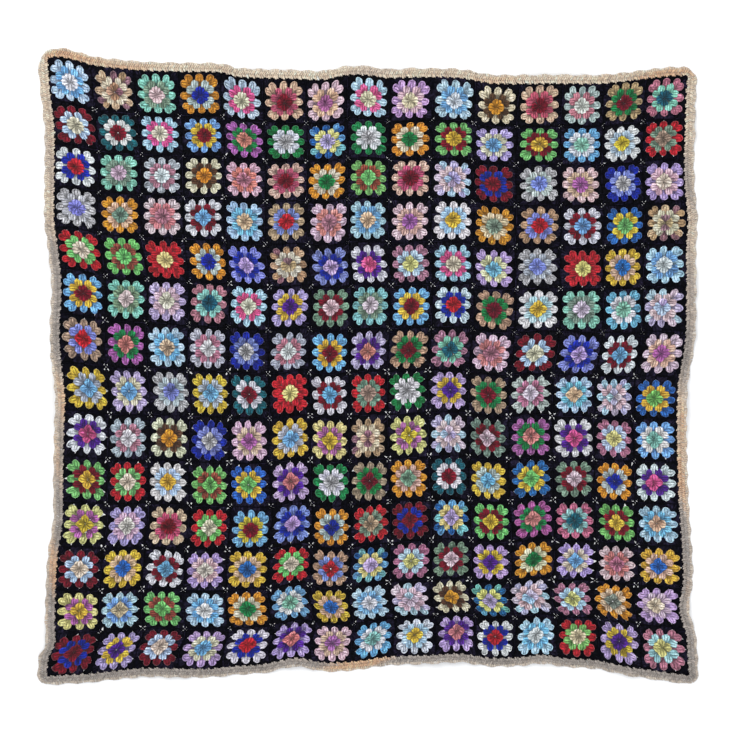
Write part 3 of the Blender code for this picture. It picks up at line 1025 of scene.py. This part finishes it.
def edgingTone(turn, number, rng):
    # cream, with stretches of grey and peach as in a hand-dyed yarn, greyer further round from the far
    # side's left, and a paler, greyer lip whose grey is painted shade where the edge rolls down
    shades = {name: np.array(edgingColoursAndLipShade[name]) for name in ("cream", "grey", "peach", "lip")}
    angle = 2 * math.pi * turn
    waves = (*edgingColoursAndLipShade["stretches"], (*edgingColoursAndLipShade["flecks"], number))
    slow = sum(strength * np.sin(times * angle + start) for times, strength, start in waves)
    bright = 0.5 + 0.5 * np.cos(angle - 2 * math.pi * edgingColoursAndLipShade["brightest"])
    byStretch, always, byBrightness = edgingColoursAndLipShade["greyAt"]
    grey = np.clip(slow * byStretch + always + byBrightness * bright, 0, 1)[:, None]
    byStretch, always = edgingColoursAndLipShade["peachAt"]
    peach = np.clip(slow * byStretch + always, 0, 1)[:, None]
    tone = (shades["cream"] * (1 - grey) + shades["grey"] * grey) * (1 - peach) + shades["peach"] * peach
    # painted shade on the outermost round, where the lip rolls down
    if number == len(edging["rounds"]) - 1:
        tone = tone * (1 - edgingColoursAndLipShade["lipShare"]) + shades["lip"] * edgingColoursAndLipShade["lipShare"]
    return linear(np.clip(tone * rng.normal(1, edgingColoursAndLipShade["spread"], (len(turn), 1)), 0, 1))


def roundedReach(radius, own, other, away, slant=0.0):
    # how far the edging reaches near a rounded corner; slant turns a station's direction to the other side
    across, out = radius - other - away, own - radius
    along = out * np.cos(slant) - across * np.sin(slant)
    reach = along + np.sqrt(np.maximum(radius ** 2 - across ** 2 - out ** 2 + along ** 2, 0))
    return np.where((across < 0) & (slant == 0), own, reach)


def edgingStations():
    # base, outward direction, width and share of the way round, at each station
    quarter = blanket["sheetColumns"] / (blanket["sheetColumns"] + blanket["sheetRows"]) / 2
    widths, radii = blanket["edgingWidths"], blanket["cornerRadii"]
    sides = (
        ("left", "bottom", "right", (0, -1), blanket["columns"], False, quarter),
        ("bottom", "right", "top", (1, 0), blanket["rows"], False, 0.5 - quarter),
        ("right", "top", "left", (0, 1), blanket["columns"], True, quarter),
        ("top", "left", "bottom", (-1, 0), blanket["rows"], True, 0.5 - quarter),
    )
    base, outward, width, turn = [], [], [], []
    turned = 0.0
    for before, side, after, direction, squares, backwards, part in sides:
        t = np.linspace(0, 1, squares * edging["stationsPerSquare"] + 1)
        points = edgePoint(side, 1 - t if backwards else t).T
        # a fan of stations round the corner before this side
        slant = math.pi / 2 * (1 - np.linspace(0, 1, edging["cornerStations"])[1:-1])
        angle = math.atan2(direction[1], direction[0]) - slant
        fan = np.stack((np.cos(angle), np.sin(angle)), -1)
        count = len(fan)
        base += [np.repeat(points[:1], count, 0), points]
        outward += [fan, np.repeat([direction], len(t), 0)]
        turn += [np.full(count, turned), turned + part * t]
        run = t * blanket["squareSize"] * squares
        own = widths[side]
        start = roundedReach(radii[side], own, widths[before], run)
        end = roundedReach(radii[after], own, widths[after], run[-1] - run)
        width += [roundedReach(radii[side], own, widths[before], 0, slant), np.minimum(start, end)]
        turned += part
    return [np.concatenate(values) for values in (base, outward, width, turn)]


def driftingWave(middle, wave, drifts):
    drift = sum(strength * np.sin(middle / length + start) for length, strength, start in drifts)
    return np.sin(2 * math.pi * middle / wave + drift)


def readStations(distance, length, stations):
    # base, direction, width and share of the way round at distances along one round
    read = [np.interp(distance % length[-1], length, np.append(column, column[0])) for column in stations]
    direction = np.stack(read[2:4], -1)
    direction /= np.linalg.norm(direction, axis=-1, keepdims=True)
    return np.stack(read[:2], -1), direction, read[4], read[5]


def edgingRound(number, base, outward, width, turn, rng):
    inner, outer, tall, lean = edging["rounds"][number]
    isInnermost, isOutermost = number == 0, number == len(edging["rounds"]) - 1
    kind = "bead" if isInnermost else "edging"
    body = clusterTemplate(kind, 2, False)
    across, section, lobe = body["points"].T
    share, wide, _, high, low = np.array(clusterShapes[kind])[np.rint(section).astype(int)].T
    line = base + outward * (width * (inner + outer) / 2)[:, None]
    steps = np.linalg.norm(np.diff(np.concatenate((line, line[:1])), axis=0), axis=1)
    length = np.concatenate(([0], np.cumsum(steps)))
    count = int(round(length[-1] / edging["pitch"]))
    pitch = length[-1] / count

    middle = (np.arange(count) + 0.5) * pitch + rng.normal(0, edging["placeSpread"], count)
    footShift = -lean / 2 + rng.normal(0, edging["leanSpread"], count)
    wideness = rng.normal(1, edging["widthSpread"], count)
    tallness = tall * rng.normal(1, edging["heightSpread"], count)
    near, far = np.zeros(count), np.zeros(count)
    if isInnermost:
        wave, mean, rise, uneven = edging["scallops"]
        near = mean + rise * driftingWave(middle, wave, edging["scallopDrifts"])
        near = near + rng.normal(0, uneven, count)
    if isOutermost:
        wave, rise = edging["lipWave"]
        far = rise * driftingWave(middle, wave, edging["lipDrifts"])
        far = far + rng.uniform(-edging["wiggle"], 0, count)

    along = (middle + footShift)[:, None] + lean * share + across * wide * (pitch / 2 * wideness)[:, None]
    place, direction, wideHere, turned = readStations(along, length, (*base.T, *outward.T, width, turn))
    start, end = inner * wideHere - near[:, None], outer * wideHere + far[:, None]
    out = start + (end - start) * share
    x, y = np.moveaxis(place + direction * out[..., None], -1, 0)
    ripple = frillRise(turned) * np.clip(out / wideHere, 0, 1) ** 2
    z = (low + (high - low) * lobe) * tallness[:, None] + relief(x, y) + ripple
    aside = np.broadcast_to(across * wide * pitch / 2, along.shape)

    band = length[-1] / edging["bands"]
    bandOf = np.floor(middle / band)[:, None]
    borderX, borderY = bakeMap["edgingBorder"]
    mapX = (along - bandOf * band + borderX) / (band + 2 * borderX)
    mapY = (bandOf + (out + bakeMap["lean"] * z + borderY) / bakeMap["edgingHeight"]) / edging["bands"]
    shade = edgingTone(middle / length[-1], number, rng)
    return {
        "template": body, "points": np.stack((x - origin[0], y - origin[1], z), -1) * mm,
        "strand": np.stack((aside, (outer - inner) * wideHere * share), -1),
        # the grooves between plies get a darker painted shade
        "bake": np.stack((mapX, mapY), -1), "shade": shade, "plyAndGrooveShade": shade * edging["paintedGrooveShare"],
        "uneven": rng.normal(1, edging["pointShade"], x.shape),
    }


def makeEdging():
    rng = np.random.default_rng(edging["seed"])
    stations = edgingStations()
    parts = [edgingRound(number, *stations, rng) for number in range(len(edging["rounds"]))]
    piece = joinStitches("edgingRounds", parts, yarnMaterial("creamYarn", yarnLooks["edging"]))
    # along the edge and then outwards is a left-handed turn, so the faces point inwards until here
    piece.data.flip_normals()
    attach(piece, "root")
    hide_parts("edging")
    stage("cream edging")
    return piece


pieces = makeSquares()
border = makeEdging()


# Floor, light and camera

studio = {
    "floorReach": 8.0,
    "floorShade": (0.90, 0.90, 0.90),
    "floorRoughness": 0.8,
    "sky": (0.95, 0.97, 1.0),
    "skyStrength": 0.85,
    "lights": (  # name, place, size, power and tint
        ("key", (-1.5, 1.6, 3.2), 2.2, 70, (1.0, 0.98, 0.95)),
        ("fill", (2.2, -1.5, 3.2), 2.6, 40, (0.95, 0.97, 1.0)),
    ),
    "lens": 85,
    "viewWidth": 1692.8,
}


def makeFloor():
    bm = bmesh.new()
    bmesh.ops.create_grid(bm, x_segments=1, y_segments=1, size=studio["floorReach"])
    mesh = bpy.data.meshes.new("floor")
    bm.to_mesh(mesh)
    bm.free()
    paint = {"Base Color": (*studio["floorShade"], 1), "Roughness": studio["floorRoughness"]}
    mesh.materials.append(newMaterial("floorPaint", lambda tree: paint))
    linked("floor", mesh)


def makeStudio():
    world = bpy.data.worlds.new("studio")
    world.use_nodes = True
    sky = {"Color": (*studio["sky"], 1), "Strength": studio["skyStrength"]}
    feed(world.node_tree, world.node_tree.nodes["Background"], sky)
    bpy.context.scene.world = world
    for name, place, size, power, tint in studio["lights"]:
        lamp = bpy.data.lights.new(name, "AREA")
        lamp.shape = "SQUARE"
        lamp.size = size
        lamp.energy = power
        lamp.color = tint
        light = linked(name, lamp)
        light.location = place
        light.rotation_euler = (-light.location).to_track_quat("-Z", "Y").to_euler()
    bpy.context.scene.view_settings.view_transform = "Standard"


def makeCamera():
    lens = bpy.data.cameras.new("camera")
    lens.lens = studio["lens"]
    camera = linked("camera", lens)
    height = studio["viewWidth"] * mm * lens.lens / lens.sensor_width
    camera.location = (-origin[0] * mm, -origin[1] * mm, height)
    bpy.context.scene.camera = camera


makeFloor()
makeStudio()
makeCamera()
stage("floor, light and camera")
